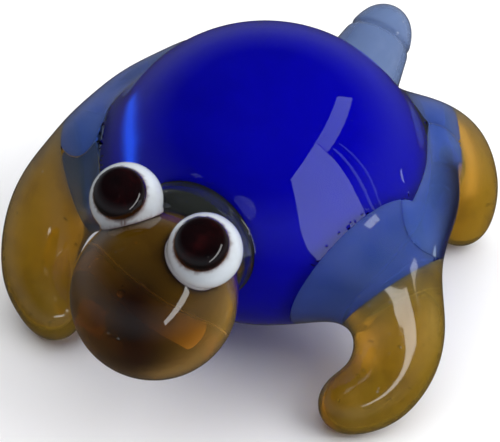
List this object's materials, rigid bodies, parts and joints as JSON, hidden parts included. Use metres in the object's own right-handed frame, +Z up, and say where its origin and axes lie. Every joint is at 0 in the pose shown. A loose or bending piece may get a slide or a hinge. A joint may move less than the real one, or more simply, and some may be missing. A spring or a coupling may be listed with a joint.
{
  "type": "glass turtle figurine",
  "caption": "Small flame-worked glass turtle with a cased cobalt shell, amber head and legs, pale blue tail and white bead eyes; stands on its feet.",
  "frame": {"origin": "middle of the bottom of the turtle's box, on the surface it stands on", "axes": "+Z up, the head towards -Y and the tail towards +Y, the turtle's left side towards +X"},
  "size_m": [0.0426, 0.0556, 0.0272],
  "materials": {
    "cobalt_glass": "transparent deep cobalt blue, fire polished",
    "clear_glass": "clear, fire polished",
    "pale_blue_glass": "clear with a pale grey-blue tint, fire polished",
    "amber_glass": "transparent amber brown, fire polished",
    "smoke_green_glass": "transparent grey green, fire polished",
    "white_glass": "opaque white glass, glossy",
    "maroon_glass": "transparent dark maroon, glossy"
  },
  "bodies": {
    "root": {"shell_core": "cobalt_glass", "clear_casing": "clear_glass", "shoulder_front_left": "pale_blue_glass", "shoulder_front_right": "pale_blue_glass", "shoulder_rear_left": "pale_blue_glass", "shoulder_rear_right": "pale_blue_glass", "flank_left": "pale_blue_glass", "flank_right": "pale_blue_glass", "leg_front_left": "amber_glass", "leg_front_right": "amber_glass", "leg_rear_left": "amber_glass", "leg_rear_right": "amber_glass", "tail_stem": "pale_blue_glass", "tail_tip": "pale_blue_glass", "neck": "smoke_green_glass", "head": "amber_glass", "eye_left": "white_glass", "eye_right": "white_glass", "pupil_left": "maroon_glass", "pupil_right": "maroon_glass"}
  },
  "joints": []
}
